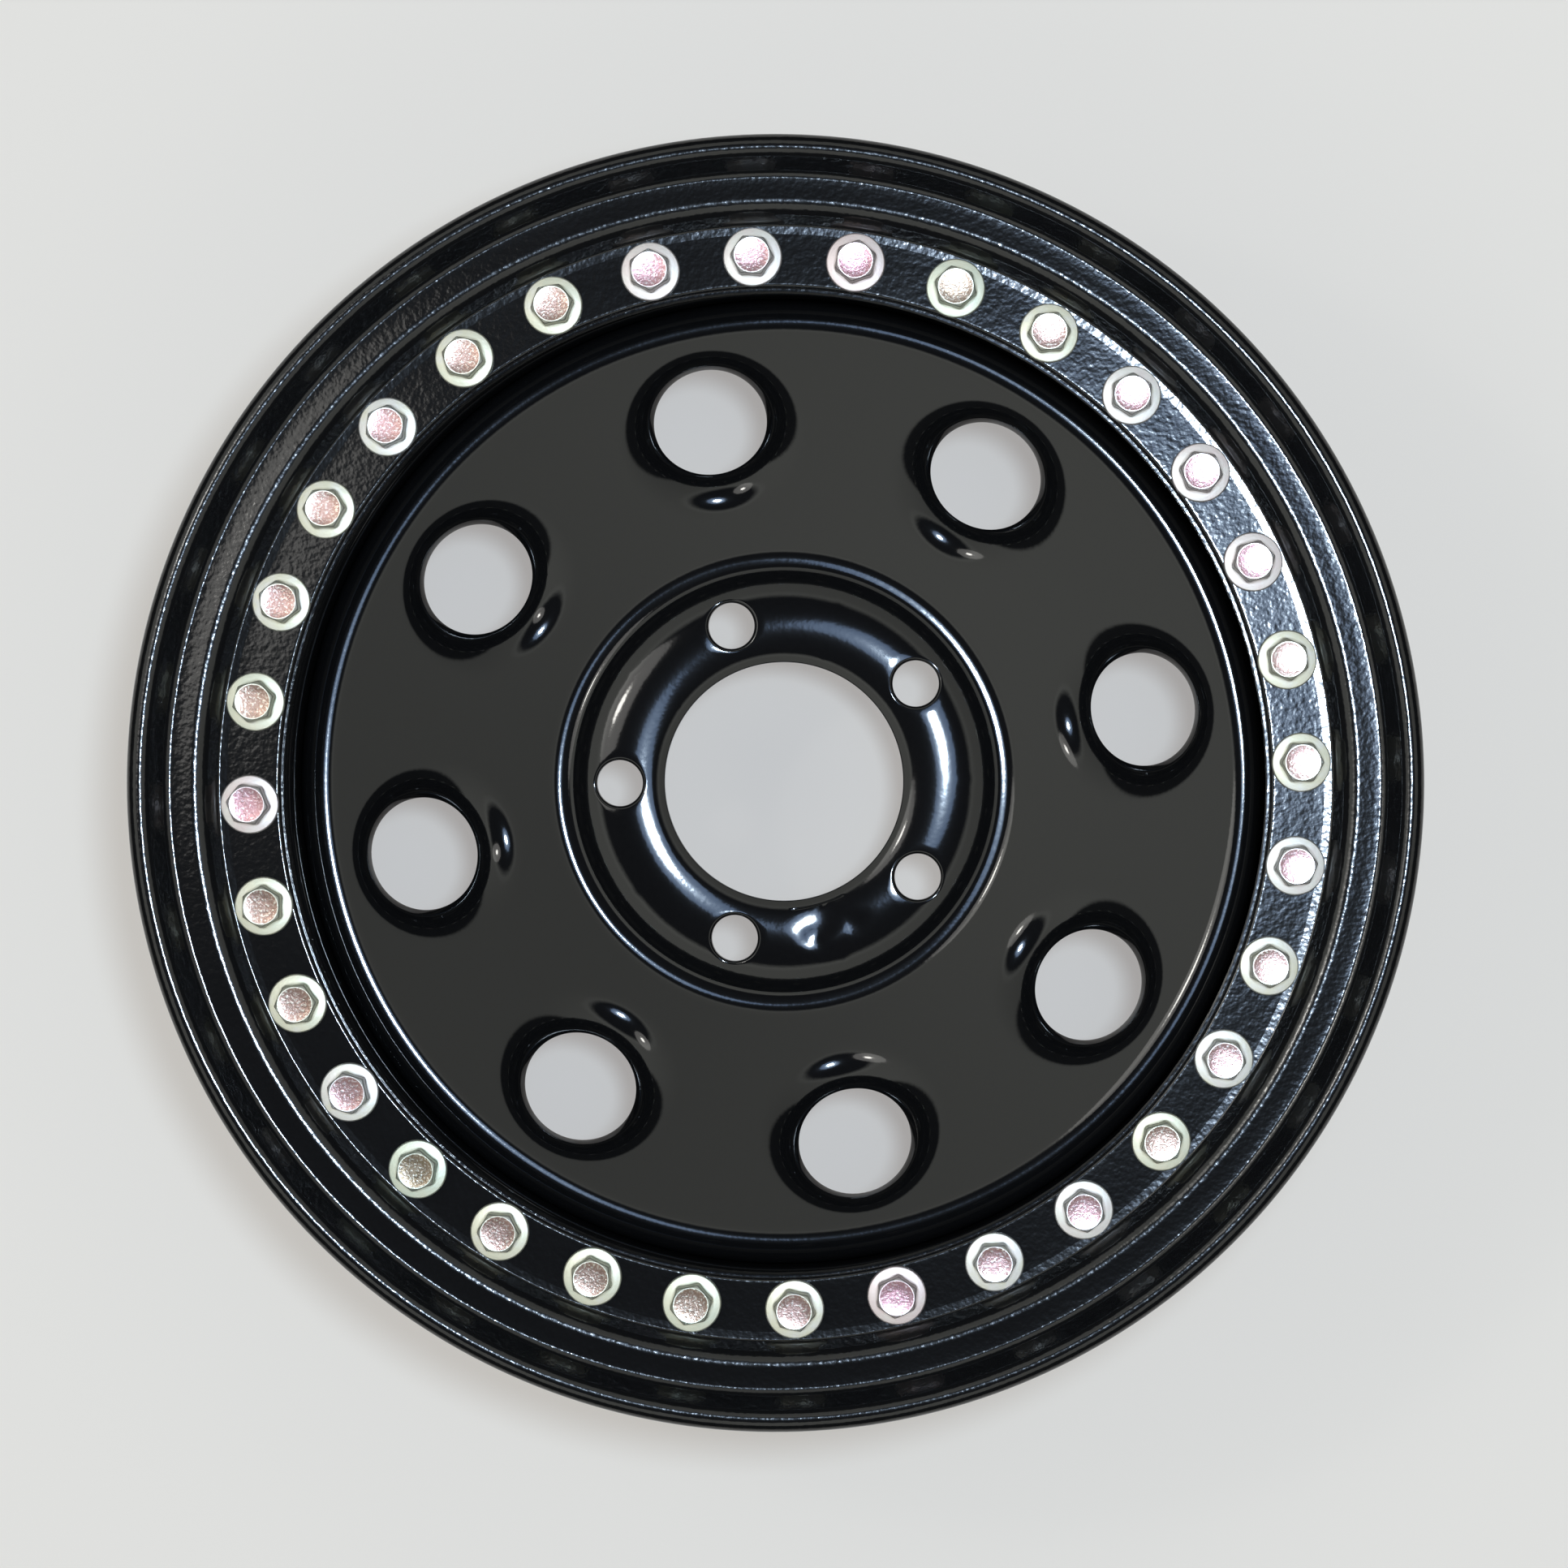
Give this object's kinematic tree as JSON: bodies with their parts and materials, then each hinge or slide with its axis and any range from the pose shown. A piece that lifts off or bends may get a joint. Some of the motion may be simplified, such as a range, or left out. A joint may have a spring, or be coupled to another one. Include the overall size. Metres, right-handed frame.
{
  "type": "beadlock wheel",
  "caption": "Steel off-road wheel with a dished disc, round windows, a flanged barrel and a bolted outer clamp ring that locks the tyre bead.",
  "frame": {"origin": "centre of the hub mounting face, on the wheel axis", "axes": "+Z along the wheel axis towards the outboard side with the clamp ring, +X and +Y in the plane of the hub mounting face"},
  "size_m": [0.419, 0.419, 0.2271],
  "materials": {
    "gloss_black": "gloss black powder coat",
    "painted_weld": "gloss black powder coat over weld",
    "zinc_chromate": "zinc plate with yellow and pink chromate"
  },
  "bodies": {
    "root": {"rim_barrel": "gloss_black", "centre_disc": "gloss_black", "disc_welds": "painted_weld", "inner_ring": "gloss_black", "ring_weld": "painted_weld", "clamp_ring": "gloss_black", "ring_bolts": "zinc_chromate", "weld_nuts": "painted_weld"}
  },
  "joints": []
}
